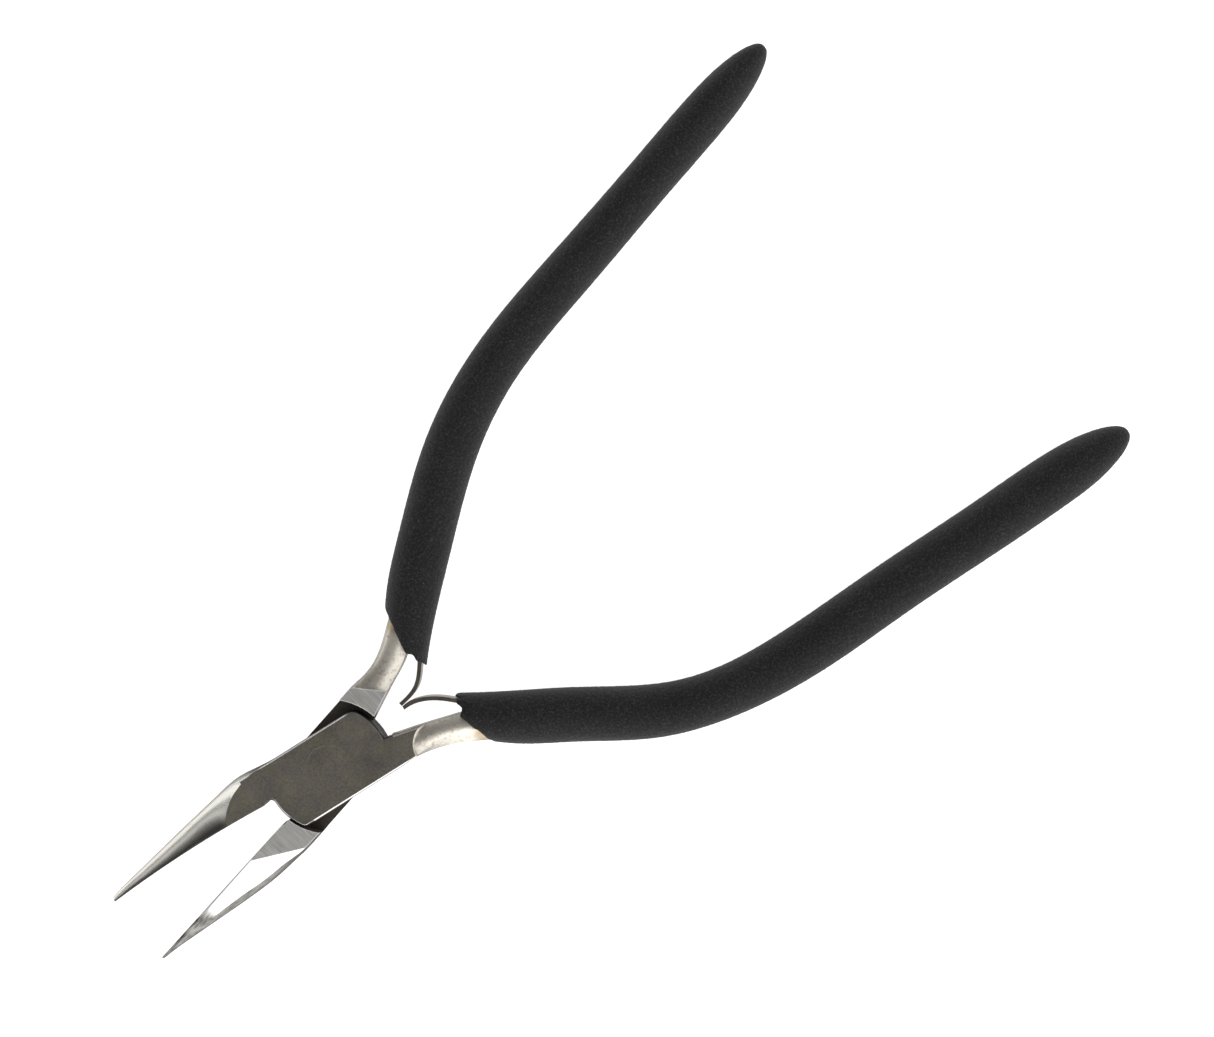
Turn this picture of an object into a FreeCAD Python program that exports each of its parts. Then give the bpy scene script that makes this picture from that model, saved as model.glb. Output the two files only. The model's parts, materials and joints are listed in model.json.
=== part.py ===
import FreeCAD, Part
import math
import os

# Needle nose pliers with two leaf springs and slim soft grips. Millimetres, +Z up along the pivot
# axis, +X toward the jaw tips, origin on the pivot axis at the back face of the joint.
# Both levers are drawn closed, front side up. The back lever is the same shape turned over about
# the X axis, and the two are then swung apart by half the opening each.

# driving dimensions: joint
THICKNESS = 6.4            # joint, across both halves
LAP_GAP = 0.04             # oil gap between the two halves
HALF_WIDTH = 5.1           # joint plate, from the pivot to either long edge
END_RADIUS = 8.6           # plate end, about the pivot
SHOULDER_JAW = 8.85        # concave shoulder under the jaw, about the pivot
SHOULDER_NECK = 9.45       # concave shoulder at the neck, about the pivot
EDGE_BREAK = 0.25          # polished chamfer on the plate edges
OPENING = 16.4             # angle between the levers when the springs hold them open

# driving dimensions: pivot rivet
RIVET_RADIUS = 2.4
RIVET_HEAD_RADIUS = 3.1
RIVET_HEAD_DEPTH = 0.8
RIVET_PLAY = 0.03

# driving dimensions: jaws, as half-round sections about the gripping face
JAW_LENGTH = 34.9          # pivot to tip
JAW_GAP = 0.01             # half of the light gap left between the closed tips
JAW_ROOT_RELIEF = 0.35     # the jaws only meet near the tip
JAW_NOTCH = (9.6, -0.6)    # where the plate's round end runs into the gripping face
PLATE_IN_JAW = 11.5        # the plate runs on inside the jaw as far as this
JAW_STATIONS = (6.0, 8.0, 9.4, 10.8, 13.0, 16.0, 20.0, 27.0, 31.0, 34.0, JAW_LENGTH)
JAW_FRONT_HEIGHTS = (10.4, 9.4, 7.8, 5.9, 4.5, 3.22, 2.75, 1.95, 1.45, 1.05, 0.75)
JAW_BACK_HEIGHTS = (10.4, 10.0, 9.5, 8.5, 6.0, 4.6, 3.4, 2.2, 1.5, 1.05, 0.75)
FACET_LINE = ((10.8, -4.35), (16.7, -0.22))   # where the ground facet on the back side begins
FACET_SLOPE = 13.0

# driving dimensions: neck and tang
NECK_HALF_THICKNESS = 2.9
NECK_CROWN = 0.5
NECK_EDGE = 0.35
NECK_SIDE = 0.9            # half height of the upright outer side
PAD_FRONT_END = ((-12.0, 3.05), (-11.25, HALF_WIDTH))
PAD_BACK_START = -13.2
PAD_BACK_END = ((-11.75, 2.95), (-10.3, HALF_WIDTH))
TANG_HALF_WIDTH = 1.9
TANG_HALF_THICKNESS = 2.2
TANG_STOP = 16.0           # the steel ends this far short of the grip end

# driving dimensions: leaf springs
LEAF = 0.55                # strip thickness
LEAF_WIDTH = 4.4
LEAF_HINGE = 2.0           # where the strip starts to flex, measured along the handle
FOOT_END = 12.0
LEAF_PLAY = 0.02
LEAF_ROOM = 0.12           # beside the strip, inside the grip mouth
LEAF_SIDE_ROOM = 0.25      # past both edges of the strip
LEAF_RIVETS = (5.2, 9.2)
LEAF_RIVET_RADIUS = 0.8
LEAF_HEAD_RADIUS = 1.35
LEAF_HEAD = 0.5

# driving dimensions: grips
GRIP_HEIGHT = 9.0
GRIP_TAIL = 13.0           # length of the rounded tail
GRIP_TAIL_STEPS = (8.5, 5.0, 2.4, 0.9, 0.15)   # sections of the tail, from the very end
GRIP_FULL = 0.93           # share of the width at which the sleeve has its full height

# The two levers differ a little, being finished by hand. Handle: a straight, a round elbow and a
# long straight. Jaw: width at each station. Neck: inner spot, outer spot and place of the ridge
# between them, from the joint to the grip. Bow: middle line of the free leaf. Mouth: cut end of
# the grip. Grip: distance along the handle, width and sideways shift.
FRONT = {
    "start": (-20.5, 5.2), "elbow": (-49.3, 21.2), "end": (-117.6, 19.1), "radius": 30.0,
    "jaw": (5.1, 5.25, 5.42, 5.55, 5.42, 4.8, 4.0, 2.5, 1.65, 0.98, 0.65),
    "jaw_relief": 0.62,
    "root": 0.52,
    "pad_inner": (-14.3, 1.87),
    "neck": [((-9.9, 0.81), (-9.9, 5.05), 0.96), ((-11.6, 1.19), (-11.4, 5.17), 0.93),
             ((-13.9, 1.76), (-14.3, 5.75), 0.80), ((-16.2, 2.40), (-17.0, 6.72), 0.72),
             ((-18.7, 3.09), (-20.3, 8.3), 0.73)],
    "bow": [(-19.96, 1.77), (-18.2, 0.24), (-16.0, -1.09), (-14.4, -1.55), (-12.96, -1.56)],
    "mouth": [(-22.2, 14.0), (-20.75, 9.41), (-18.95, 3.3), (-19.7, 2.95),
              ((-19.9, 2.6), (-19.65, 2.25)), (-19.45, 1.65), (-19.75, 0.75), (-20.5, -3.0)],
    "grip": [(-4.0, 6.2, -0.75), (1.6, 6.75, -0.35), (5.5, 7.35, -0.05), (13.0, 7.55, 0.0),
             (26.0, 7.4, 0.0), (42.0, 7.4, 0.0), (62.0, 7.55, 0.05), (78.0, 7.55, 0.1)],
}
BACK = {
    "start": (-20.5, 4.9), "elbow": (-49.6, 20.25), "end": (-113.9, 21.15), "radius": 60.0,
    "jaw": (5.1, 5.15, 5.15, 5.1, 4.9, 4.6, 3.85, 2.15, 1.15, 0.5, 0.35),
    "jaw_relief": 0.17,
    "root": -0.16,
    "pad_inner": (-13.2, 1.0),
    "neck": [((-9.9, 0.15), (-9.9, 5.2), 0.95), ((-11.5, 0.58), (-11.6, 5.0), 0.93),
             ((-13.6, 1.10), (-14.4, 5.05), 0.90), ((-15.7, 1.55), (-17.0, 5.83), 0.87),
             ((-17.8, 2.10), (-19.9, 7.2), 0.85)],
    "bow": [(-20.0, 1.2), (-18.13, -0.36), (-16.0, -1.51), (-14.4, -1.66), (-12.96, -1.54)],
    "mouth": [(-22.7, 14.0), (-21.3, 8.9), (-18.75, 2.4), (-19.15, 2.05),
              ((-19.35, 1.75), (-19.2, 1.4)), (-18.95, 0.8), (-19.0, -0.5), (-19.5, -3.5)],
    "grip": [(-4.0, 6.3, -1.2), (1.6, 6.85, -0.45), (5.5, 7.4, -0.1), (13.0, 7.6, 0.0),
             (26.0, 7.5, 0.0), (38.0, 7.15, 0.0), (56.0, 6.95, 0.0), (74.0, 6.65, 0.0)],
}

MID = THICKNESS / 2
V = FreeCAD.Vector


def outline(start, steps):
    """Flat closed face: a step is an end point, a (mid, end) arc, or a list of spline points."""
    edges = []
    here = start
    for step in steps:
        if isinstance(step, list):
            curve = Part.BSplineCurve()
            curve.interpolate([V(here[0], here[1], 0)] + [V(p[0], p[1], 0) for p in step])
            edges.append(curve.toShape())
            here = step[-1]
        elif isinstance(step[0], tuple):
            mid, end = step
            arc = Part.Arc(V(here[0], here[1], 0), V(mid[0], mid[1], 0), V(end[0], end[1], 0))
            edges.append(arc.toShape())
            here = end
        else:
            edges.append(Part.makeLine(V(here[0], here[1], 0), V(step[0], step[1], 0)))
            here = step
    if math.hypot(here[0] - start[0], here[1] - start[1]) > 1e-6:
        edges.append(Part.makeLine(V(here[0], here[1], 0), V(start[0], start[1], 0)))
    return Part.Face(Part.Wire(edges))


def prism(face, low, high):
    solid = face.extrude(V(0, 0, high - low))
    solid.translate(V(0, 0, low))
    if solid.Volume < 0:
        solid.reverse()
    return solid


def skinned(rings):
    """Solid skinned over a row of closed sections."""
    solid = Part.makeLoft(rings, True, False)
    if solid.Volume < 0:
        solid.reverse()
    return solid


def bevelled(solid, top):
    """Prism with the edges of its flat top broken all round."""
    face = [f for f in solid.Faces if abs(f.BoundBox.ZMin - top) < 1e-6][0]
    rim = face.OuterWire
    inner = rim.makeOffset2D(-EDGE_BREAK, 2)
    rim.translate(V(0, 0, -EDGE_BREAK))
    cap = Part.makeLoft([rim, inner], True, True)
    box = solid.BoundBox
    room = Part.makeBox(box.XLength + 2, box.YLength + 2, EDGE_BREAK + 1,
                        V(box.XMin - 1, box.YMin - 1, top - EDGE_BREAK))
    return solid.cut(room).fuse(cap).removeSplitter()


def polar(radius, degrees):
    turn = math.radians(degrees)
    return (radius * math.cos(turn), radius * math.sin(turn))


def upright_edges(solid, spots):
    """Vertical edges of a prism standing at the given corners."""
    found = []
    for edge in solid.Edges:
        ends = edge.Vertexes
        if len(ends) < 2 or abs(ends[0].Z - ends[1].Z) < 0.5:
            continue
        for x, y in spots:
            if abs(ends[0].X - x) < 0.02 and abs(ends[0].Y - y) < 0.02:
                found.append(edge)
    return found


def handle_angles(half):
    """Slopes of the handle's two straights."""
    sx, sy = half["start"]
    ex, ey = half["elbow"]
    tx, ty = half["end"]
    return math.atan2(ey - sy, sx - ex), math.atan2(ty - ey, ex - tx)


def handle_bend(half):
    """Length of the first straight, and of the elbow's arc."""
    sx, sy = half["start"]
    ex, ey = half["elbow"]
    first, second = handle_angles(half)
    run = math.hypot(ex - sx, ey - sy) - half["radius"] * math.tan((first - second) / 2)
    return run, half["radius"] * (first - second)


def handle_length(half):
    ex, ey = half["elbow"]
    tx, ty = half["end"]
    first, second = handle_angles(half)
    run, bend = handle_bend(half)
    return run + bend + math.hypot(tx - ex, ty - ey) - half["radius"] * math.tan((first - second) / 2)


def handle_spot(half, along, offset=0.0):
    """Point beside the handle's middle line; offset is positive on the outer side."""
    sx, sy = half["start"]
    radius = half["radius"]
    first, second = handle_angles(half)
    run, bend = handle_bend(half)
    if along <= run:
        angle = first
        x = sx - along * math.cos(first)
        y = sy + along * math.sin(first)
    else:
        angle = max(second, first - (along - run) / radius)
        x = sx - run * math.cos(first) - radius * (math.sin(first) - math.sin(angle))
        y = sy + run * math.sin(first) - radius * (math.cos(first) - math.cos(angle))
    if along > run + bend:
        x -= (along - run - bend) * math.cos(second)
        y += (along - run - bend) * math.sin(second)
    return (x + offset * math.sin(angle), y + offset * math.cos(angle))


def joint_plate(half):
    """Half-thickness plate that turns on the pivot, running on as the flat of the neck."""
    corner_x = math.sqrt(END_RADIUS ** 2 - HALF_WIDTH ** 2)
    root_x = math.sqrt(END_RADIUS ** 2 - half["root"] ** 2)
    mid, end = PAD_FRONT_END
    face = outline(end, [
        (corner_x, HALF_WIDTH),
        (polar(END_RADIUS, 20), (END_RADIUS, 0.0)),
        ((8.85, -0.45), JAW_NOTCH),
        (PLATE_IN_JAW, JAW_NOTCH[1]),
        (PLATE_IN_JAW, -HALF_WIDTH),
        (-corner_x, -HALF_WIDTH),
        (polar(END_RADIUS, 200), (-root_x, half["root"])),
        half["pad_inner"],
        (mid, end),
    ])
    plate = prism(face, MID + LAP_GAP / 2, THICKNESS)
    plate = plate.makeFillet(0.9, upright_edges(plate, [(corner_x, HALF_WIDTH)]))
    plate = plate.makeFillet(1.6, upright_edges(plate, [(-corner_x, -HALF_WIDTH)]))
    return bevelled(plate, THICKNESS)


def neck_pad(half):
    """Ground flat on the back side of the neck, next to the shoulder."""
    mid, end = PAD_BACK_END
    far_x, far_y = half["pad_inner"]
    slope = (far_y - half["root"]) / (far_x + END_RADIUS)
    face = outline(end, [
        (-6.0, HALF_WIDTH),
        (-END_RADIUS, half["root"]),
        (PAD_BACK_START, half["root"] + slope * (PAD_BACK_START + END_RADIUS)),
        (mid, end),
    ])
    return prism(face, 0, MID)


def quarter(corner, start, end):
    """Quarter of an ellipse between two spots, its axes meeting opposite the corner."""
    curve = Part.BezierCurve()
    curve.setPoles([start, corner, end])
    curve.setWeight(2, math.sqrt(0.5))
    return curve.toShape()


def half_oval(x, width, front, back):
    """Closed half oval across the jaw, flat on the gripping side."""
    low = V(x, 0, MID - back)
    high = V(x, 0, MID + front)
    side = V(x, -width, MID)
    rise = quarter(V(x, -width, MID + front), high, side)
    fall = quarter(V(x, -width, MID - back), side, low)
    return Part.Wire([rise, fall, Part.makeLine(low, high)])


def facet_room():
    """Wedge of steel ground away from the jaw's back side."""
    start, end = FACET_LINE
    along = V(end[0] - start[0], end[1] - start[1], 0).normalize()
    down = V(-along.y, along.x, 0) * -1
    rise = math.tan(math.radians(FACET_SLOPE))
    reach = JAW_LENGTH
    below = V(0, 0, -1)
    base = V(start[0], start[1], 0) - along * reach
    thin_end = base - down * (1 / rise) + below
    wedge = Part.Face(Part.makePolygon([thin_end, base + down * reach + below,
                                        base + down * reach + V(0, 0, reach * rise), thin_end]))
    return wedge.extrude(along * 2 * reach)


def jaw(half):
    """Full-thickness jaw: square at the shoulder, half round toward the tip."""
    root = JAW_STATIONS[0]
    shape = outline((root, JAW_NOTCH[1]), [
        JAW_NOTCH,
        (10.2, -JAW_ROOT_RELIEF),
        ((23.0, -half["jaw_relief"]), (JAW_LENGTH, -JAW_GAP)),
        (JAW_LENGTH, -7.0),
        (root, -7.0),
    ])
    block = prism(shape, 0, THICKNESS)
    rings = [half_oval(*station) for station in
             zip(JAW_STATIONS, half["jaw"], JAW_FRONT_HEIGHTS, JAW_BACK_HEIGHTS)]
    return block.common(skinned(rings)).cut(facet_room())


def neck_ring(inner, outer, ridge):
    """Section of the forged neck: upright inner side, crowned faces, sloping outer side."""
    rx = inner[0] + ridge * (outer[0] - inner[0])
    ry = inner[1] + ridge * (outer[1] - inner[1])
    edges = []
    spots = []
    for side in (1, -1):
        top = MID + side * NECK_HALF_THICKNESS
        spots.append((V(inner[0], inner[1], top - side * NECK_EDGE),
                      V((inner[0] + rx) / 2, (inner[1] + ry) / 2, top + side * NECK_CROWN),
                      V(rx, ry, top - side * NECK_EDGE / 2),
                      V(outer[0], outer[1], MID + side * NECK_SIDE)))
    for edge, crown, crest, flank in spots:
        arc = Part.BezierCurve()
        arc.setPoles([edge, crown, crest])
        edges.append([arc.toShape(), Part.makeLine(crest, flank)])
    upper, lower = edges
    return Part.Wire(upper + [Part.makeLine(spots[0][3], spots[1][3])] + lower[::-1]
                     + [Part.makeLine(spots[1][0], spots[0][0])])


def neck(half):
    """Forged neck between the joint and the grip."""
    stations = half["neck"] + [(handle_spot(half, LEAF_HINGE + 0.4, -1.55),
                                handle_spot(half, LEAF_HINGE + 1.0, 2.6), 0.85)]
    return skinned([neck_ring(*station) for station in stations])


def tang(half):
    """Steel core that runs on inside the grip."""
    begin = LEAF_HINGE + 0.4
    run, bend = handle_bend(half)
    stop = handle_length(half) - TANG_STOP
    out = [handle_spot(half, s, TANG_HALF_WIDTH) for s in (begin, run, run + bend / 2, run + bend, stop)]
    back = [handle_spot(half, s, -TANG_HALF_WIDTH) for s in (stop, run + bend, run + bend / 2, run, begin)]
    face = outline(out[0], [out[1], (out[2], out[3]), out[4], back[0], back[1], (back[2], back[3]), back[4]])
    return prism(face, MID - TANG_HALF_THICKNESS, MID + TANG_HALF_THICKNESS)


def shoulder_cut():
    """Room for the other lever's plate, in the half this lever does not fill."""
    top = MID + LAP_GAP / 2
    disc = Part.makeCylinder(SHOULDER_JAW, top + 1, V(0, 0, -1))
    wide = Part.makeCylinder(SHOULDER_NECK, top + 1, V(0, 0, -1))
    left = Part.makeBox(20, 40, top + 3, V(-20, -20, -2))
    return disc.fuse(wide.common(left))


def rivet_shape(play, low, high):
    """Pivot rivet between two heights, grown by the play; its two ends are countersunk heads."""
    shank = Part.makeCylinder(RIVET_RADIUS + play, THICKNESS)
    cone = Part.makeCone(RIVET_HEAD_RADIUS + play, RIVET_RADIUS + play, RIVET_HEAD_DEPTH)
    back = cone.copy()
    front = cone.copy()
    front.rotate(V(0, 0, MID), V(1, 0, 0), 180)
    whole = shank.fuse([back, front])
    band = Part.makeBox(20, 20, high - low, V(-10, -10, low))
    return whole.common(band)


def leaf_rivet(half, along):
    """Small rivet across the tang, its head on the leaf's foot."""
    base = handle_spot(half, along, TANG_HALF_WIDTH)
    tip = handle_spot(half, along, -TANG_HALF_WIDTH)
    way = V(tip[0] - base[0], tip[1] - base[1], 0).normalize()
    length = 2 * TANG_HALF_WIDTH + LEAF
    start = V(base[0], base[1], MID)
    shank = Part.makeCylinder(LEAF_RIVET_RADIUS, length, start, way)
    head = Part.makeCylinder(LEAF_HEAD_RADIUS, LEAF_HEAD, start + way * length, way)
    return shank.fuse(head)


def leaf_foot(half):
    """Flat end of the leaf, lying on the inner side of the tang."""
    near = -TANG_HALF_WIDTH
    far = near - LEAF
    hinge = handle_spot(half, LEAF_HINGE, near - LEAF / 2)
    spots = [handle_spot(half, LEAF_HINGE, near), handle_spot(half, FOOT_END, near),
             handle_spot(half, FOOT_END, far), handle_spot(half, LEAF_HINGE, far)]
    face = outline(spots[0], [spots[1], spots[2], spots[3], spots[0]])
    foot = prism(face, MID - LEAF_WIDTH / 2, MID + LEAF_WIDTH / 2)
    knuckle = Part.makeCylinder(LEAF / 2 + LEAF_PLAY, THICKNESS, V(hinge[0], hinge[1], 0))
    return foot.cut(knuckle)


def strip(spots, reach):
    """Both sides of a thin curved strip through the given middle points."""
    outer = []
    inner = []
    for i, spot in enumerate(spots):
        a = spots[max(0, i - 1)]
        b = spots[min(len(spots) - 1, i + 1)]
        size = math.hypot(b[0] - a[0], b[1] - a[1])
        nx = -(b[1] - a[1]) / size * reach
        ny = (b[0] - a[0]) / size * reach
        outer.append((spot[0] + nx, spot[1] + ny))
        inner.append((spot[0] - nx, spot[1] - ny))
    return outer, inner


def leaf_line(half):
    """Middle line of the free leaf, from its root inside the grip."""
    return [handle_spot(half, LEAF_HINGE, -TANG_HALF_WIDTH - LEAF / 2)] + half["bow"]


def leaf_blade(half):
    """Free end of the leaf, bowing in until it meets the other leaf on the middle line."""
    middle = leaf_line(half)
    outer, inner = strip(middle, LEAF / 2)
    face = outline(outer[0], [outer[1:], inner[-1], inner[::-1][1:], outer[0]])
    blade = prism(face, MID - LEAF_WIDTH / 2, MID + LEAF_WIDTH / 2)
    root = Part.makeCylinder(LEAF / 2, LEAF_WIDTH, V(middle[0][0], middle[0][1], MID - LEAF_WIDTH / 2))
    return blade.fuse(root).removeSplitter()


def grip(half):
    """Soft sleeve: oval sections along the handle, rounded tail, slanted mouth."""
    length = handle_length(half)
    stations = list(half["grip"])
    last = stations[-1][1]
    for left in (GRIP_TAIL,) + GRIP_TAIL_STEPS:
        shrink = math.sqrt(1 - (1 - left / GRIP_TAIL) ** 2)
        stations.append((length - left, last * shrink, 0.0))
    rings = []
    for along, width, shift in stations:
        x, y = handle_spot(half, along, shift)
        ox, oy = handle_spot(half, along, shift + width / 2)
        height = GRIP_HEIGHT / 2 * min(1.0, width / (GRIP_FULL * last))
        oval = Part.Ellipse(V(x, y, MID + height), V(ox, oy, MID), V(x, y, MID))
        rings.append(Part.Wire([oval.toShape()]))
    mouth = outline((-5.0, 14.0), half["mouth"] + [(-5.0, half["mouth"][-1][1]), (-5.0, 14.0)])
    return skinned(rings).cut(prism(mouth, MID - GRIP_HEIGHT, MID + GRIP_HEIGHT))


def spring_room(half):
    """Space the leaf swings through inside the grip mouth; its far side lies inside the neck."""
    back = LEAF_HINGE + 0.6
    upper, lower = strip(leaf_line(half)[:4], LEAF / 2 + LEAF_ROOM)
    near = upper if upper[1][1] < lower[1][1] else lower
    far = [(x, y + 0.4) for (x, y), outer, ridge in half["neck"][3:]]
    face = outline(handle_spot(half, back, -TANG_HALF_WIDTH + 0.2), [
        handle_spot(half, back, -TANG_HALF_WIDTH - LEAF - 0.05),
        near[0],
        near[1],
        near[2],
        far[0],
        far[1],
        handle_spot(half, LEAF_HINGE + 0.5, -1.2),
        handle_spot(half, back, -TANG_HALF_WIDTH + 0.2),
    ])
    side = LEAF_WIDTH / 2 + LEAF_SIDE_ROOM
    return prism(face, MID - side, MID + side)


def lever(half, bore_play):
    """One lever, closed and front side up."""
    full = jaw(half).fuse([neck(half), neck_pad(half), tang(half)])
    body = full.cut(shoulder_cut())
    body = body.fuse(joint_plate(half))
    body = body.cut(rivet_shape(bore_play, MID, THICKNESS))
    for along in LEAF_RIVETS:
        body = body.cut(leaf_rivet(half, along))
    return body.removeSplitter()


def place(shape, side):
    """Swing a closed piece to its resting place; side is 1 for front, -1 for back."""
    moved = shape.copy()
    if side < 0:
        moved.rotate(V(0, 0, MID), V(1, 0, 0), 180)
    moved.rotate(V(0, 0, 0), V(0, 0, 1), -side * OPENING / 2)
    return moved


os.makedirs("parts", exist_ok=True)
pieces = {}
for name, side, half in (("front", 1, FRONT), ("back", -1, BACK)):
    steel = lever(half, 0 if side > 0 else RIVET_PLAY)
    rivets = [leaf_rivet(half, along) for along in LEAF_RIVETS]
    foot = leaf_foot(half)
    sleeve = grip(half).cut([neck(half), tang(half), foot, spring_room(half)] + rivets)
    pieces[name + "_lever"] = place(steel, side)
    pieces[name + "_grip"] = place(sleeve, side)
    pieces[name + "_spring_foot"] = place(foot.cut(rivets), side)
    pieces[name + "_spring_blade"] = place(leaf_blade(half), side)
    pieces[name + "_spring_rivets"] = place(Part.makeCompound(rivets), side)
pieces["pivot_rivet"] = rivet_shape(0, 0, THICKNESS)

for name, shape in pieces.items():
    shape.exportStep("parts/" + name + ".step")
    box = shape.BoundBox
    print(name, "solids", len(shape.Solids), "valid", shape.isValid(), "volume", round(shape.Volume, 2),
          "box", [round(v, 2) for v in (box.XMin, box.XMax, box.YMin, box.YMax, box.ZMin, box.ZMax)])
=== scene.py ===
"""Needle nose pliers: steel and grip finishes, floor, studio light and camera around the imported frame."""
import json
import math

import bpy
import bmesh
from mathutils import Matrix, Vector, noise


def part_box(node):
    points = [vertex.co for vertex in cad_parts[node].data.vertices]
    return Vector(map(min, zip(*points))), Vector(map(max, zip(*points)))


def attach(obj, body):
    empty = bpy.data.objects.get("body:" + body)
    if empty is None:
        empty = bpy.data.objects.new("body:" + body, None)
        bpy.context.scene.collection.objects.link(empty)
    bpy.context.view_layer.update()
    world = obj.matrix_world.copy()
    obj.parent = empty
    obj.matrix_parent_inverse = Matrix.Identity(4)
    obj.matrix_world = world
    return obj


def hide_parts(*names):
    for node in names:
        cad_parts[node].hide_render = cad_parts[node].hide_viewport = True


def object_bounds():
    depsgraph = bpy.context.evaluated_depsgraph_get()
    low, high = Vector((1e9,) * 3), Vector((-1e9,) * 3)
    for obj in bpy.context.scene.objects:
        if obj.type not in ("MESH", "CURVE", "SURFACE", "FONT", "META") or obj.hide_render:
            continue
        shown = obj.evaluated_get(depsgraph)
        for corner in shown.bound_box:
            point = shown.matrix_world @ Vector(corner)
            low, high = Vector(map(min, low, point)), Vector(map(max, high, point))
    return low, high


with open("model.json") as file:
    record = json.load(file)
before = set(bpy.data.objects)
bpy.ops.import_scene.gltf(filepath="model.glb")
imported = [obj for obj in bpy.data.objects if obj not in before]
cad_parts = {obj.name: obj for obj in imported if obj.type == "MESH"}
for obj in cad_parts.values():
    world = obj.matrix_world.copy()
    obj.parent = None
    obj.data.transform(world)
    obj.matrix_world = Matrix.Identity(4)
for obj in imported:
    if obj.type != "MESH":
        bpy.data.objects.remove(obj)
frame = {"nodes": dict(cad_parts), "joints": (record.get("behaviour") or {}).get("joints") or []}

MM = 0.001
cad_low, cad_high = [Vector(corner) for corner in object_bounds()]

# levers at rest: each is swung half the opening from the closed position it was drawn in
joints = {joint["name"]: joint for joint in frame["joints"]}
SWING = math.radians(joints["jaw_pivot"]["range_deg"][1] / 2.0)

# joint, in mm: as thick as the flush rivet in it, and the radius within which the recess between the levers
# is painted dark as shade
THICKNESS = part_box("pivot_rivet")[1].z / MM
JOINT_RADIUS = 9.6

# camera: straight above the tool; its lens and sensor in mm, and its clipping in metres
CAMERA_SPOT = Vector((-51.06, -1.47, THICKNESS + 355.0)) * MM
CAMERA_RIGHT = Vector((-0.763, 0.6465, 0.0))
LENS = 77.18
SENSOR = 36.0
CLIPPING = (0.01, 10.0)

# surround: direction of its dark patch, and brightness against the cosine away from it
DARK_PATCH = (0.0, -0.36, 0.93)
STUDIO_TONES = ((0.0, 0.8), (0.35, 1.0), (0.66, 1.08), (0.74, 0.82), (0.83, 0.24), (1.0, 0.16))

# surround: where it dims toward -Y and toward the floor, and how bright it is there
DIM_Y = (-0.35, -0.8)
DIM_Z = (0.45, 0.2)
DIM_LEVEL = 0.35

# floor: half its side and its gap under the tool in metres, the cells of its grid, its glow and paper
FLOOR_HALF = 1.2
FLOOR_GAP = 0.0002
FLOOR_CELLS = 8
FLOOR_GLOW = 0.9
FLOOR_PAPER = ((0.62, 0.62, 0.62), (0.66, 0.66, 0.66))

# lights aimed at the pivot: name, place and size in metres, power in watts
LIGHTS = (
    # a low strip on the side of the front handle makes the joint's outer edge shine
    ("edge_strip", (0.05, 0.55, 0.10), (0.9, 0.16), 0.5),
    # a soft window toward the tips lights the polished facet of the back jaw
    ("tip_window", (0.24, 0.33, 0.62), (0.5, 0.4), 0.5),
)


# ---------------------------------------------------------------- node helpers

# sockets of a Mix node: two inputs and the output, for numbers and for colours
MIX_NUMBERS = (2, 3, 0)
MIX_COLOURS = (6, 7, 2)

# rays that look for nearby edges, for a rounded normal
ROUND_SAMPLES = 6


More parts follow.
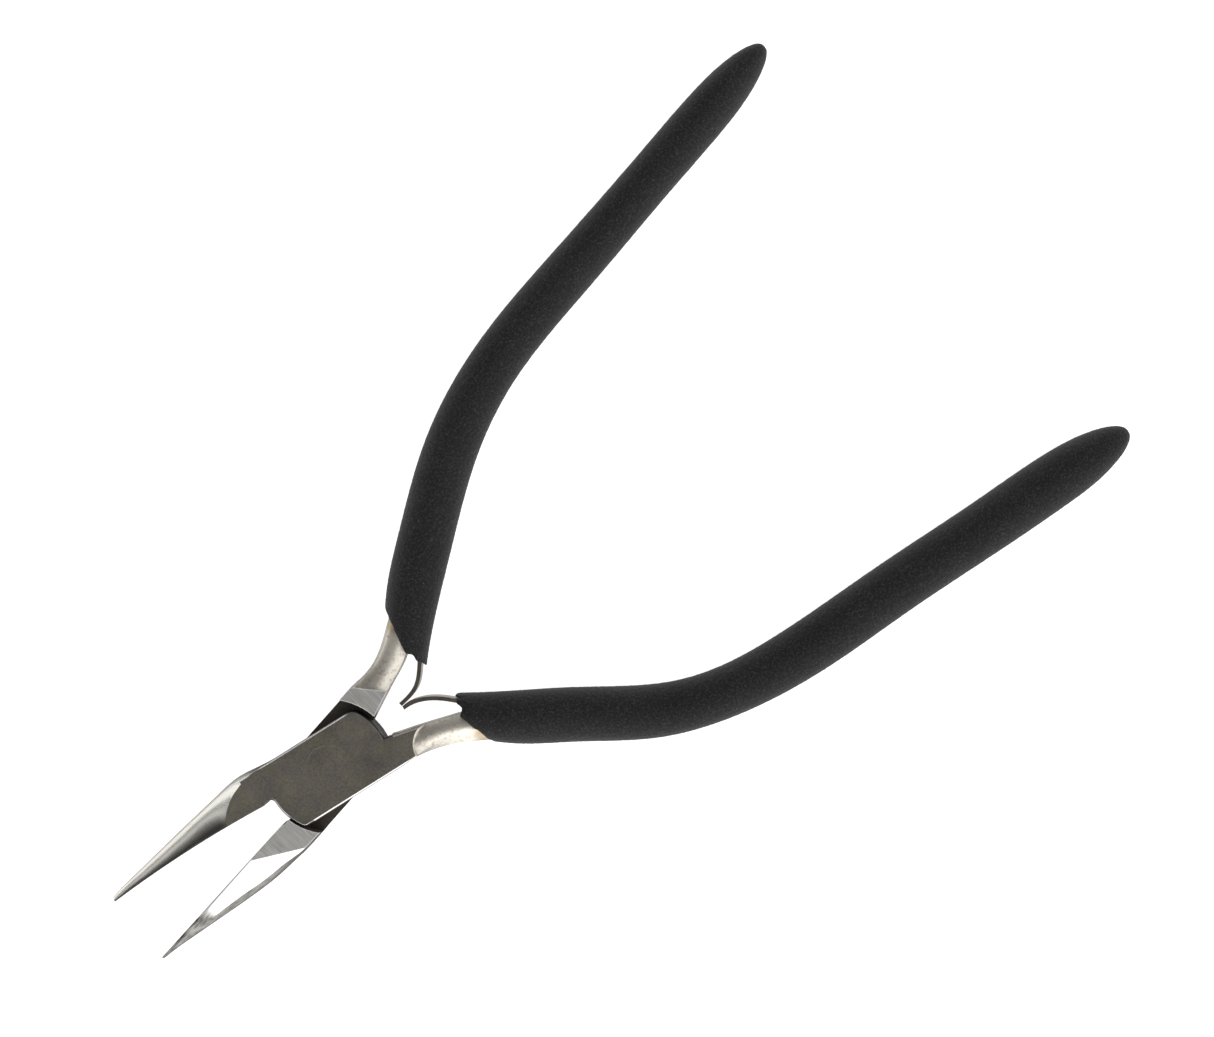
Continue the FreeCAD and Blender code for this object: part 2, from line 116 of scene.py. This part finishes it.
class Graph:
    """Shorthand for building a node tree."""

    def __init__(self, tree):
        self.tree = tree
        tree.nodes.clear()

    def node(self, kind, **settings):
        """New node with its settings."""
        made = self.tree.nodes.new(kind)
        for key, value in settings.items():
            setattr(made, key, value)
        return made

    def link(self, source, target):
        """Joins an output to an input."""
        self.tree.links.new(source, target)

    def feed(self, socket, value):
        """Link or number into a socket; None leaves it alone."""
        if isinstance(value, bpy.types.NodeSocket):
            self.link(value, socket)
        elif value is not None:
            socket.default_value = value

    def math(self, operation, first, second=None):
        """One step of arithmetic on links or numbers."""
        made = self.node("ShaderNodeMath", operation=operation)
        for socket, value in zip(made.inputs, (first, second)):
            self.feed(socket, value)
        return made.outputs[0]

    def times(self, result, *others):
        """Product of values; of masks, the part that all of them share."""
        for other in others:
            result = self.math("MULTIPLY", result, other)
        return result

    def plus(self, result, *others):
        """Sum of values."""
        for other in others:
            result = self.math("ADD", result, other)
        return result

    def either(self, first, second):
        """The greater of two values; of masks, both together."""
        return self.math("MAXIMUM", first, second)

    def invert(self, mask):
        """Everything outside a mask."""
        return self.math("SUBTRACT", 1.0, mask)

    def ramp(self, value, start, end):
        """0 at start, 1 at end, smooth between and level beyond; start may be the greater one."""
        made = self.node("ShaderNodeMapRange", interpolation_type="SMOOTHSTEP")
        self.feed(made.inputs["Value"], value)
        falls = start > end
        made.inputs["From Min"].default_value = min(start, end)
        made.inputs["From Max"].default_value = max(start, end)
        made.inputs["To Min"].default_value = 1.0 if falls else 0.0
        made.inputs["To Max"].default_value = 0.0 if falls else 1.0
        return made.outputs["Result"]

    def remap(self, value, low, high):
        """0..1 spread linearly between two values."""
        made = self.node("ShaderNodeMapRange")
        self.feed(made.inputs["Value"], value)
        made.inputs["To Min"].default_value = low
        made.inputs["To Max"].default_value = high
        return made.outputs["Result"]

    def mix(self, factor, first, second):
        """From the first colour to the second."""
        made = self.node("ShaderNodeMix", data_type="RGBA")
        low, high, output = MIX_COLOURS
        self.feed(made.inputs["Factor"], factor)
        for socket, value in ((low, first), (high, second)):
            self.feed(made.inputs[socket], (*value, 1.0) if isinstance(value, tuple) else value)
        return made.outputs[output]

    def blend(self, factor, first, second):
        """From the first number to the second."""
        made = self.node("ShaderNodeMix", data_type="FLOAT")
        low, high, output = MIX_NUMBERS
        self.feed(made.inputs["Factor"], factor)
        self.feed(made.inputs[low], first)
        self.feed(made.inputs[high], second)
        return made.outputs[output]

    def scale(self, colour, amount):
        """Colour times a number."""
        made = self.node("ShaderNodeVectorMath", operation="SCALE")
        self.feed(made.inputs[0], colour)
        self.feed(made.inputs["Scale"], amount)
        return made.outputs[0]

    def placed(self, turn=(0.0, 0.0, 0.0), shift=(0.0, 0.0, 0.0), grow=(1.0, 1.0, 1.0)):
        """Object coordinates in mm, turned, shifted and stretched."""
        coords = self.node("ShaderNodeTexCoord")
        mapping = self.node("ShaderNodeMapping")
        self.link(coords.outputs["Object"], mapping.inputs["Vector"])
        mapping.inputs["Location"].default_value = shift
        mapping.inputs["Rotation"].default_value = turn
        mapping.inputs["Scale"].default_value = tuple(factor / MM for factor in grow)
        return mapping.outputs["Vector"]

    def stretched(self, vector, turn, grow):
        """Coordinates on which noise runs in streaks: turned in the plane, grow mm long, wide and deep."""
        mapping = self.node("ShaderNodeMapping", vector_type="TEXTURE")
        self.link(vector, mapping.inputs["Vector"])
        mapping.inputs["Rotation"].default_value = (0.0, 0.0, turn)
        mapping.inputs["Scale"].default_value = grow
        return mapping.outputs["Vector"]

    def noise(self, vector, scale, detail=3.0, roughness=0.55):
        """Fractal noise from 0 to 1, with scale features to each unit of the vector."""
        made = self.node("ShaderNodeTexNoise")
        self.link(vector, made.inputs["Vector"])
        made.inputs["Scale"].default_value = scale
        made.inputs["Detail"].default_value = detail
        made.inputs["Roughness"].default_value = roughness
        return made.outputs["Fac"]

    def split(self, vector):
        """The X, Y and Z of a vector."""
        made = self.node("ShaderNodeSeparateXYZ")
        self.link(vector, made.inputs[0])
        return made.outputs

    def rounded(self, radius):
        """Normal rounded over nearby edges, and how far it agrees with the plain one."""
        made = self.node("ShaderNodeBevel", samples=ROUND_SAMPLES)
        made.inputs["Radius"].default_value = radius * MM
        geometry = self.node("ShaderNodeNewGeometry")
        same = self.node("ShaderNodeVectorMath", operation="DOT_PRODUCT")
        self.link(made.outputs["Normal"], same.inputs[0])
        self.link(geometry.outputs["Normal"], same.inputs[1])
        return made.outputs["Normal"], same.outputs["Value"]

    def bump(self, height, strength, distance, before=None):
        """Normal bent by a height; distance in mm, before is a normal to start from."""
        made = self.node("ShaderNodeBump")
        made.inputs["Strength"].default_value = strength
        made.inputs["Distance"].default_value = distance * MM
        self.link(height, made.inputs["Height"])
        if before is not None:
            self.link(before, made.inputs["Normal"])
        return made.outputs["Normal"]


class Finish(Graph):
    """One material around a principled shader."""

    def __init__(self, name):
        self.material = bpy.data.materials.new(name)
        self.material.use_nodes = True
        super().__init__(self.material.node_tree)
        output = self.node("ShaderNodeOutputMaterial")
        self.shader = self.node("ShaderNodeBsdfPrincipled")
        self.link(self.shader.outputs["BSDF"], output.inputs["Surface"])


# ---------------------------------------------------------------- steel

PLATE_GREY = (0.205, 0.187, 0.168)
PLATE_OLIVE = (0.215, 0.200, 0.158)
PAD_GREY = (0.74, 0.73, 0.70)
POLISHED = (0.93, 0.925, 0.91)
JAW_SILVER = (0.70, 0.68, 0.63)
NECK_SILVER = (0.76, 0.71, 0.625)
NECK_STAIN = (0.36, 0.31, 0.245)
TEMPER_BROWN = (0.46, 0.34, 0.17)
SIDE_STEEL = (0.20, 0.19, 0.175)
# near-black painted shade for the recess between the levers
RECESS_SHADE_BLACK = (0.085, 0.075, 0.065)
STRIP_BLUED = ((0.06, 0.048, 0.036), (0.125, 0.10, 0.078))
STRIP_WORN = ((0.10, 0.088, 0.072), (0.24, 0.21, 0.175))
SMALL_RIVET = ((0.34, 0.33, 0.31), (0.58, 0.57, 0.54))

# Zones of a lever as it was drawn, closed, in mm: x from the pivot toward the tip, y toward its
# own handle, z from its ground back (0) to its satin front (THICKNESS). Each zone is 0 at the
# first value of its pair and 1 at the second.
FRONT_FACE_Z = (THICKNESS - 0.2, THICKNESS - 0.1)
BACK_FACE_Z = (0.2, 0.1)
LAP_OVER_Z = (0.15, 0.3)
LAP_UNDER_Z = (THICKNESS - 0.15, THICKNESS - 0.3)
LAP_RADIUS = (JOINT_RADIUS + 0.15, JOINT_RADIUS - 0.1)
JAW_X = (8.5, 10.5)
JAW_BACK_Z = (3.2, 2.9)
TIP_X = (23.4, 26.6)
FACET_X = (26.5, 24.5)
FACET_Z = (3.1, 2.9)
# a painted dark reflection lines the facet's inner edge
FACET_EDGE_Y = (-0.62, -0.26)
NECK_X = (-9.6, -9.9)
# the neck is painted lighter toward the grip as a highlight
NECK_HIGHLIGHT_X = (-12.0, -18.5)
PLATE_END_X = (-5.2, -6.4)
PLATE_END_Y = (4.6, 3.6)
PLATE_END_Z = (3.3, 3.6)
PLATE_RIM_X = (9.0, 7.0)
PLATE_RIM_Z = (THICKNESS - 0.18, THICKNESS - 0.13)
# pad edges near the joint: worn polish, also painted matte white as a highlight
ARRIS_X = (12.0, 11.0)
ARRIS_Z = (0.5, 0.3)

# streaks of grinding and brushing: size in mm, and their direction on the pads from +X
PAD_STREAKS = (2.4, 0.085, 1.0)
PAD_STREAK_TURN = math.radians(95)
JAW_STREAKS = (0.9, 0.12, 0.12)
JAW_BACK_STREAKS = (2.8, 0.42, 0.42)

# outer edge of the jaw: how far it lies from the gripping face at the pivot, and how fast it nears it
JAW_DEPTH = 7.6
JAW_TAPER = 0.2
# the jaw's darkening along the gripping face is painted shade
INNER_SHADE_BAND = (0.72, 0.24)        # shares of that depth between which the jaw darkens

# slanting line at the grip's mouth where the tempered colour starts, in mm along a direction in the plane
MOUTH_ALONG = (0.95, -0.3)
MOUTH = (-19.6, -21.2)

# how much a face looks along the pivot, 1 for one square to it
LEVEL_FACE = (0.985, 0.9975)
FACET_FACE = (0.955, 0.965)
# steep walls get painted shade: darker and matte
STEEP_SHADE_FACE = (0.60, 0.15)

# how far the rounded normal agrees with the plain one, from 1 away from any edge
EDGE_ROUND = 0.18                # mm
# painted dark reflection along the edges of the back jaw's facet
FACET_EDGE_SHADE = (0.995, 0.93)
# pad edges: worn polish, made matte white so they show as a painted highlight
ARRIS_HIGHLIGHT_EDGE = (0.9995, 0.975)


def plate_finish(g):
    """Colour, roughness and relief of the satin front of the joint, shared by the rivet in it."""
    flat = g.placed()
    cloud = g.noise(flat, 0.16, detail=2.0)
    mottle = g.noise(flat, 3.4, detail=5.0, roughness=0.75)
    tone = g.mix(g.ramp(g.noise(flat, 0.30), 0.35, 0.65), PLATE_GREY, PLATE_OLIVE)
    tone = g.scale(tone, g.plus(g.remap(cloud, 0.55, 1.3), g.remap(mottle, -0.6, 0.6)))
    return tone, g.remap(mottle, 0.36, 0.52), mottle


class LeverSteel(Finish):
    """Steel of one lever: satin and ground joint, polished jaw and forged neck, told apart by place."""

    def __init__(self, name, turn, shift):
        super().__init__(name)
        self.here = self.placed(turn, shift)
        self.smooth_normal, self.agreement = self.rounded(EDGE_ROUND)
        self.add_textures()
        self.add_zones()
        self.link(self.colour(), self.shader.inputs["Base Color"])
        self.link(self.roughness(), self.shader.inputs["Roughness"])
        # painted light: steep walls turn matte and dark as shade, pad edges matte white as a highlight
        painted_light_matte = self.either(self.steep_painted_shade, self.times(self.arris_wear_and_highlight, 0.9))
        self.link(self.remap(painted_light_matte, 1.0, 0.15), self.shader.inputs["Metallic"])
        self.link(self.remap(self.steep_painted_shade, 0.5, 0.05), self.shader.inputs["Specular IOR Level"])
        self.link(self.bump(self.relief(), 0.5, 0.02, self.smooth_normal), self.shader.inputs["Normal"])

    def add_textures(self):
        """Mottling, pits, and brushing in two directions."""
        flat = self.placed()
        pad_streaks = self.stretched(flat, PAD_STREAK_TURN, PAD_STREAKS)
        jaw_streaks = self.stretched(self.here, 0.0, JAW_STREAKS)
        jaw_back_streaks = self.stretched(self.here, 0.0, JAW_BACK_STREAKS)
        self.plate, self.plate_rough, self.mottle = plate_finish(self)
        self.speckle = self.noise(flat, 6.5, detail=2.0, roughness=0.6)
        self.brush_pad = self.noise(pad_streaks, 1.0, detail=4.0, roughness=0.6)
        self.brush_jaw = self.noise(jaw_streaks, 1.0, roughness=0.6)
        self.streak = self.noise(jaw_back_streaks, 1.0)
        self.pits = self.noise(self.here, 1.6, detail=6.0, roughness=0.75)

    def add_zones(self):
        """Masks, each 1 inside its zone of the lever."""
        x, y, z = self.split(self.here)
        geometry = self.node("ShaderNodeNewGeometry")
        upright = self.math("ABSOLUTE", self.split(geometry.outputs["True Normal"])["Z"])
        level = self.ramp(upright, *LEVEL_FACE)
        radius = self.math("SQRT", self.plus(self.times(x, x), self.times(y, y)))

        # the two ground faces, and the recess between the levers, painted near black as shade
        self.front_flat = self.times(level, self.ramp(z, *FRONT_FACE_Z))
        self.back_flat = self.times(level, self.ramp(z, *BACK_FACE_Z))
        off_front = self.invert(self.front_flat)
        off_back = self.invert(self.back_flat)
        self.lap_recess_shade = self.times(self.ramp(z, *LAP_OVER_Z), self.ramp(z, *LAP_UNDER_Z),
                              self.ramp(radius, *LAP_RADIUS))

        # jaw: its band of painted shade along the gripping face, its back, its tip, and the facet on the back
        across = self.math("DIVIDE", self.times(y, -1.0), self.plus(self.times(x, -JAW_TAPER), JAW_DEPTH))
        jaw_back = self.ramp(z, *JAW_BACK_Z)
        self.jaw = self.ramp(x, *JAW_X)
        self.inner_painted_shade = self.times(self.jaw, self.invert(jaw_back), self.ramp(across, *INNER_SHADE_BAND))
        self.jaw_back = self.times(self.jaw, jaw_back)
        self.tip_back = self.times(self.jaw, self.ramp(x, *TIP_X), jaw_back)
        self.facet = self.times(self.jaw, self.ramp(z, *FACET_Z), self.ramp(upright, *FACET_FACE), off_back,
                                self.ramp(x, *FACET_X))

        # neck, and the slanting line at the grip where it was tempered
        neck = self.ramp(x, *NECK_X)
        along_x, along_y = MOUTH_ALONG
        self.forged = self.times(neck, off_front, off_back)
        # painted highlight on the neck toward the grip
        self.neck_painted_highlight = self.ramp(x, *NECK_HIGHLIGHT_X)
        self.tempered = self.ramp(self.plus(self.times(x, along_x), self.times(y, along_y)), *MOUTH)

        # walls: the joint plate's end lies in shade, and its other rims shine
        plate_end = self.times(self.ramp(x, *PLATE_END_X), self.ramp(y, *PLATE_END_Y))
        self.shaded_end = self.times(plate_end, off_front, self.invert(neck), self.ramp(z, *PLATE_END_Z))
        # steep walls and the plate's end are painted darker and matte as shade
        self.steep_painted_shade = self.either(self.ramp(upright, *STEEP_SHADE_FACE), self.shaded_end)
        self.plate_rim = self.times(self.ramp(z, *PLATE_RIM_Z), off_front, self.ramp(x, *PLATE_RIM_X),
                                    self.invert(neck), self.remap(plate_end, 1.0, 0.15))

        # edges: the facet's edges get a painted dark reflection; pad edges are worn and also painted matte
        # white as a highlight
        # painted dark reflection on the facet's edges
        self.facet_edge_shade = self.either(self.ramp(self.agreement, *FACET_EDGE_SHADE), self.ramp(y, *FACET_EDGE_Y))
        # pad edges near the joint: worn polish, painted matte white as a highlight
        self.arris_wear_and_highlight = self.times(self.ramp(self.agreement, *ARRIS_HIGHLIGHT_EDGE), self.ramp(z, *ARRIS_Z),
                                self.ramp(x, *ARRIS_X))

    def jaw_colour(self):
        """Brushed silver, with painted shade along the gripping face, streaked on the back, and plain joint
        sides.
        """
        side = self.scale(SIDE_STEEL, self.remap(self.mottle, 0.85, 1.15))
        grain = self.plus(self.remap(self.brush_jaw, 0.86, 1.1), self.remap(self.speckle, -0.05, 0.05))
        colour = self.mix(self.jaw, side, self.scale(JAW_SILVER, grain))
        # painted shade along the gripping face
        colour = self.scale(colour, self.remap(self.inner_painted_shade, 1.0, 0.17))
        colour = self.mix(self.jaw_back, colour, self.scale(JAW_SILVER, self.remap(self.streak, -0.12, 0.85)))
        return self.mix(self.tip_back, colour, self.scale(JAW_SILVER, self.remap(self.streak, -0.35, 1.0)))

    def neck_colour(self):
        """Forged silver with stained pits, painted lighter as a highlight and then tinted yellow-brown toward
        the grip.
        """
        stain = self.ramp(self.pits, 0.50, 0.72)
        # painted highlight toward the grip
        tone = self.times(self.remap(self.mottle, 0.86, 1.14), self.remap(self.neck_painted_highlight, 0.92, 1.22))
        colour = self.scale(self.mix(stain, NECK_SILVER, NECK_STAIN), tone)
        return self.mix(self.times(self.tempered, 0.75), colour, TEMPER_BROWN)

    def colour(self):
        """Base colour of the whole lever."""
        # steep walls of the jaw and the neck are painted darker as shade
        colour = self.scale(self.jaw_colour(), self.blend(self.steep_painted_shade, 1.0, 0.3))
        # polished facet, its edges painted dark as a reflection
        facet = self.scale(POLISHED, self.remap(self.facet_edge_shade, 1.0, 0.25))
        neck = self.scale(self.neck_colour(), self.blend(self.steep_painted_shade, 1.0, 0.35))
        # painted shade in the recess between the levers
        recess_shade = self.scale(RECESS_SHADE_BLACK, self.remap(self.mottle, 0.6, 1.4))
        pad = self.scale(PAD_GREY, self.remap(self.brush_pad, 0.45, 1.55))
        colour = self.mix(self.facet, colour, facet)
        colour = self.mix(self.forged, colour, neck)
        colour = self.mix(self.lap_recess_shade, colour, recess_shade)
        colour = self.scale(colour, self.remap(self.shaded_end, 1.0, 0.35))
        colour = self.mix(self.back_flat, colour, pad)
        colour = self.mix(self.front_flat, colour, self.plate)
        # polished rims, and pad edges partly worn and partly painted white as a highlight
        return self.mix(self.either(self.plate_rim, self.arris_wear_and_highlight), colour, POLISHED)

    def roughness(self):
        """Roughness of the whole lever."""
        rough = self.blend(self.jaw, 0.30, self.remap(self.brush_jaw, 0.20, 0.34))
        rough = self.blend(self.facet, rough, 0.07)
        rough = self.blend(self.steep_painted_shade, rough, 0.6)
        rough = self.blend(self.forged, rough, self.remap(self.pits, 0.24, 0.46))
        rough = self.blend(self.lap_recess_shade, rough, 0.55)
        rough = self.blend(self.back_flat, rough, self.remap(self.brush_pad, 0.24, 0.42))
        rough = self.blend(self.front_flat, rough, self.plate_rough)
        rough = self.blend(self.plate_rim, rough, 0.10)
        return self.blend(self.arris_wear_and_highlight, rough, 0.5)

    def relief(self):
        """Height of brushing, rolled skin and forging pits."""
        ground = self.times(self.brush_pad, self.back_flat)
        rolled = self.times(self.mottle, self.front_flat, 0.5)
        drawn = self.times(self.brush_jaw, self.jaw, self.invert(self.facet), 0.6)
        beaten = self.times(self.pits, self.forged, 2.2)
        return self.plus(ground, rolled, drawn, beaten)


def rivet_material():
    """Pivot rivet, ground flush with the joint and finished with it."""
    g = Finish("rivet_ground")
    tone, rough, mottle = plate_finish(g)
    g.link(tone, g.shader.inputs["Base Color"])
    g.link(rough, g.shader.inputs["Roughness"])
    g.shader.inputs["Metallic"].default_value = 1.0
    g.link(g.bump(g.times(mottle, 0.5), 0.5, 0.02), g.shader.inputs["Normal"])
    return g.material


def spring_material():
    """Dark tempered strip, drawn along its length, lighter on its worn edges."""
    g = Finish("spring_strip")
    lines = g.noise(g.placed(grow=(0.5, 0.5, 6.0)), 1.0, detail=4.0, roughness=0.6)
    cloud = g.noise(g.placed(), 0.9, detail=4.0, roughness=0.6)
    geometry = g.node("ShaderNodeNewGeometry")
    edge = g.ramp(g.math("ABSOLUTE", g.split(geometry.outputs["Normal"])["Z"]), 0.3, 0.8)
    blued = g.mix(cloud, *STRIP_BLUED)
    worn = g.mix(cloud, *STRIP_WORN)
    g.link(g.scale(g.mix(edge, blued, worn), g.remap(lines, 0.8, 1.2)), g.shader.inputs["Base Color"])
    g.link(g.remap(lines, 0.26, 0.44), g.shader.inputs["Roughness"])
    g.shader.inputs["Metallic"].default_value = 1.0
    g.link(g.bump(lines, 0.35, 0.01), g.shader.inputs["Normal"])
    return g.material


def small_rivet_material():
    """Plain scratched steel of the rivets in the leaf springs' feet."""
    g = Finish("small_rivet")
    scratch = g.noise(g.placed(), 5.0, detail=4.0, roughness=0.7)
    g.link(g.mix(scratch, *SMALL_RIVET), g.shader.inputs["Base Color"])
    g.link(g.remap(scratch, 0.24, 0.5), g.shader.inputs["Roughness"])
    g.shader.inputs["Metallic"].default_value = 1.0
    g.link(g.bump(scratch, 0.4, 0.01), g.shader.inputs["Normal"])
    return g.material


# ---------------------------------------------------------------- grips

# pebbled skin and remeshing, in mm
GRAIN_SIZE = 0.42
GRAIN_HEIGHT = 0.035
GRIP_VOXEL = 0.36
SEAM_GAP = 0.002

# second, finer layer of pebbles: how much finer and how high beside the first
FINE_GRAIN = 2.1
FINE_SHARE = 0.5

VINYL = ((0.013, 0.013, 0.0135), (0.045, 0.044, 0.0425))
SPECK = (0.20, 0.19, 0.175)


def grip_material(name):
    """Fine grained matte dark vinyl with small light specks."""
    g = Finish(name)
    here = g.placed()
    grain = g.noise(here, 3.4, detail=5.0, roughness=0.72)
    fine = g.noise(here, 7.5, detail=2.0, roughness=0.6)
    cloud = g.noise(here, 0.11, roughness=0.5)
    cells = g.node("ShaderNodeTexVoronoi", feature="F1")
    g.link(here, cells.inputs["Vector"])
    cells.inputs["Scale"].default_value = 1.9
    patch = g.ramp(g.noise(here, 0.8, detail=1.0), 0.5, 0.66)
    speck = g.times(g.ramp(cells.outputs["Distance"], 0.13, 0.05), patch)
    base = g.mix(g.ramp(grain, 0.46, 0.66), *VINYL)
    base = g.scale(base, g.remap(cloud, 0.78, 1.25))
    base = g.mix(g.times(speck, 0.75), base, SPECK)
    g.link(base, g.shader.inputs["Base Color"])
    g.link(g.remap(grain, 0.50, 0.74), g.shader.inputs["Roughness"])
    g.shader.inputs["Specular IOR Level"].default_value = 0.16
    g.link(g.bump(g.plus(grain, g.times(fine, 0.5)), 0.75, 0.06), g.shader.inputs["Normal"])
    return g.material


def close_seams(mesh):
    """Joins the doubled vertices along the edges of the CAD faces."""
    edit = bmesh.new()
    edit.from_mesh(mesh)
    bmesh.ops.remove_doubles(edit, verts=edit.verts, dist=SEAM_GAP * MM)
    edit.to_mesh(mesh)
    edit.free()


def evened(thing):
    """Even, softened copy of an object's mesh, fine enough to carry the pebbles."""
    remesh = thing.modifiers.new("even", "REMESH")
    remesh.mode = "VOXEL"
    remesh.voxel_size = GRIP_VOXEL * MM
    remesh.use_smooth_shade = True
    soften = thing.modifiers.new("soften", "SMOOTH")
    soften.factor = 0.5
    soften.iterations = 3
    refine = thing.modifiers.new("refine", "SUBSURF")
    refine.levels = 1
    refine.render_levels = 1
    mesh = bpy.data.meshes.new_from_object(thing.evaluated_get(bpy.context.evaluated_depsgraph_get()))
    thing.modifiers.clear()
    return mesh


def add_pebbles(mesh):
    """Moves every vertex along its normal by two layers of noise."""
    normals = [vertex.normal.copy() for vertex in mesh.vertices]
    for vertex, normal in zip(mesh.vertices, normals):
        spot = vertex.co / (GRAIN_SIZE * MM)
        lift = noise.noise(spot) + FINE_SHARE * noise.noise(spot * FINE_GRAIN)
        vertex.co += normal * (lift * GRAIN_HEIGHT * MM)
    for polygon in mesh.polygons:
        polygon.use_smooth = True


def soft_grip(node, piece, body, material):
    """Sleeve with rounded lips and a real pebbled skin, made from the node's own solid."""
    source = frame["nodes"][node]
    solid = source.data.copy()
    solid.materials.clear()
    close_seams(solid)
    made = bpy.data.objects.new(piece, solid)
    bpy.context.scene.collection.objects.link(made)
    made.matrix_world = source.matrix_world.copy()
    made.data = evened(made)
    made.data.name = piece
    add_pebbles(made.data)
    made.data.materials.append(material)
    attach(made, body)
    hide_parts(node)


# ---------------------------------------------------------------- CAD nodes

# round on the broken edges and gap that is welded shut, in mm, and the least angle that counts as an edge
LEVER_EDGE = 0.11
STRIP_EDGE = 0.05
SMALL_RIVET_EDGE = 0.08
WELD_GAP = 0.001
EDGE_ANGLE = math.radians(28)


def finish_node(name, material, break_edge=0.0):
    """New material, and edges broken by a small round."""
    node = frame["nodes"][name]
    for place in node.material_slots:
        place.material = material
    if break_edge:
        weld = node.modifiers.new("weld", "WELD")
        weld.merge_threshold = WELD_GAP * MM
        bevel = node.modifiers.new("broken_edge", "BEVEL")
        bevel.width = break_edge * MM
        bevel.segments = 2
        bevel.limit_method = "ANGLE"
        bevel.angle_limit = EDGE_ANGLE
        bevel.harden_normals = True


# the back lever lies the other way up, with its ground back toward the camera
front_steel = LeverSteel("front_lever_steel", (0.0, 0.0, SWING), (0.0, 0.0, 0.0))
back_steel = LeverSteel("back_lever_steel", (math.pi, 0.0, SWING), (0.0, 0.0, THICKNESS))
spring_steel = spring_material()
small_steel = small_rivet_material()
finish_node("front_lever", front_steel.material, LEVER_EDGE)
finish_node("back_lever", back_steel.material, LEVER_EDGE)
finish_node("pivot_rivet", rivet_material())
for side in ("front", "back"):
    finish_node(side + "_spring_foot", spring_steel, STRIP_EDGE)
    finish_node(side + "_spring_blade", spring_steel, STRIP_EDGE)
    finish_node(side + "_spring_rivets", small_steel, SMALL_RIVET_EDGE)

vinyl = grip_material("grip_vinyl_grain")
for side in ("front", "back"):
    soft_grip(side + "_grip", side + "_grip_sleeve", side + "_half", vinyl)


# ---------------------------------------------------------------- floor, light, camera

def make_floor():
    """Pale sheet under the tool, bright enough to read as white."""
    mesh = bpy.data.meshes.new("floor")
    middle = (CAMERA_SPOT.x, CAMERA_SPOT.y, cad_low.z - FLOOR_GAP)
    edit = bmesh.new()
    bmesh.ops.create_grid(edit, x_segments=FLOOR_CELLS, y_segments=FLOOR_CELLS, size=FLOOR_HALF)
    bmesh.ops.translate(edit, verts=edit.verts, vec=middle)
    edit.to_mesh(mesh)
    edit.free()
    floor = bpy.data.objects.new("floor", mesh)
    bpy.context.scene.collection.objects.link(floor)
    g = Finish("pale_floor")
    g.link(g.mix(g.noise(g.placed(), 0.05), *FLOOR_PAPER), g.shader.inputs["Base Color"])
    g.shader.inputs["Roughness"].default_value = 0.9
    g.shader.inputs["Emission Color"].default_value = (1.0, 1.0, 1.0, 1.0)
    g.shader.inputs["Emission Strength"].default_value = FLOOR_GLOW
    mesh.materials.append(g.material)


def make_world():
    """Soft studio surround: a dark patch overhead toward -Y, bright elsewhere, dim low on the -Y side."""
    world = bpy.data.worlds.new("studio")
    world.use_nodes = True
    g = Graph(world.node_tree)
    coords = g.node("ShaderNodeTexCoord")
    toward = g.node("ShaderNodeVectorMath", operation="DOT_PRODUCT")
    g.link(coords.outputs["Generated"], toward.inputs[0])
    toward.inputs[1].default_value = Vector(DARK_PATCH).normalized()
    tone = g.node("ShaderNodeValToRGB")
    first, *middle, last = STUDIO_TONES
    for element, (spot, level) in zip(tone.color_ramp.elements, (first, last)):
        element.position = spot
        element.color = (level, level, level, 1.0)
    for spot, level in middle:
        tone.color_ramp.elements.new(spot).color = (level, level, level, 1.0)
    g.link(toward.outputs["Value"], tone.inputs["Fac"])
    direction = g.split(coords.outputs["Generated"])
    low_back = g.times(g.ramp(direction["Y"], *DIM_Y), g.ramp(direction["Z"], *DIM_Z))
    background = g.node("ShaderNodeBackground")
    g.link(tone.outputs["Color"], background.inputs["Color"])
    g.link(g.remap(low_back, 1.0, DIM_LEVEL), background.inputs["Strength"])
    output = g.node("ShaderNodeOutputWorld")
    g.link(background.outputs["Background"], output.inputs["Surface"])
    bpy.context.scene.world = world


def make_light(name, spot, size, power):
    """Rectangular light aimed at the pivot."""
    data = bpy.data.lights.new(name, "AREA")
    data.shape = "RECTANGLE"
    data.size, data.size_y = size
    data.energy = power
    light = bpy.data.objects.new(name, data)
    bpy.context.scene.collection.objects.link(light)
    light.location = spot
    light.rotation_mode = "QUATERNION"
    light.rotation_quaternion = (-Vector(spot)).to_track_quat("-Z", "Y")


def make_camera():
    """Camera that looks straight down, turned so that the tool lies as in the photo."""
    data = bpy.data.cameras.new("camera")
    data.lens = LENS
    data.sensor_width = SENSOR
    data.clip_start, data.clip_end = CLIPPING
    camera = bpy.data.objects.new("camera", data)
    bpy.context.scene.collection.objects.link(camera)
    back = Vector((0.0, 0.0, 1.0))
    right = CAMERA_RIGHT.normalized()
    up = back.cross(right)
    turn = Matrix((right, up, back)).transposed().to_4x4()
    camera.matrix_world = Matrix.Translation(CAMERA_SPOT) @ turn
    bpy.context.scene.camera = camera


make_floor()
make_world()
for light in LIGHTS:
    make_light(*light)
make_camera()
bpy.context.scene.view_settings.view_transform = "Standard"
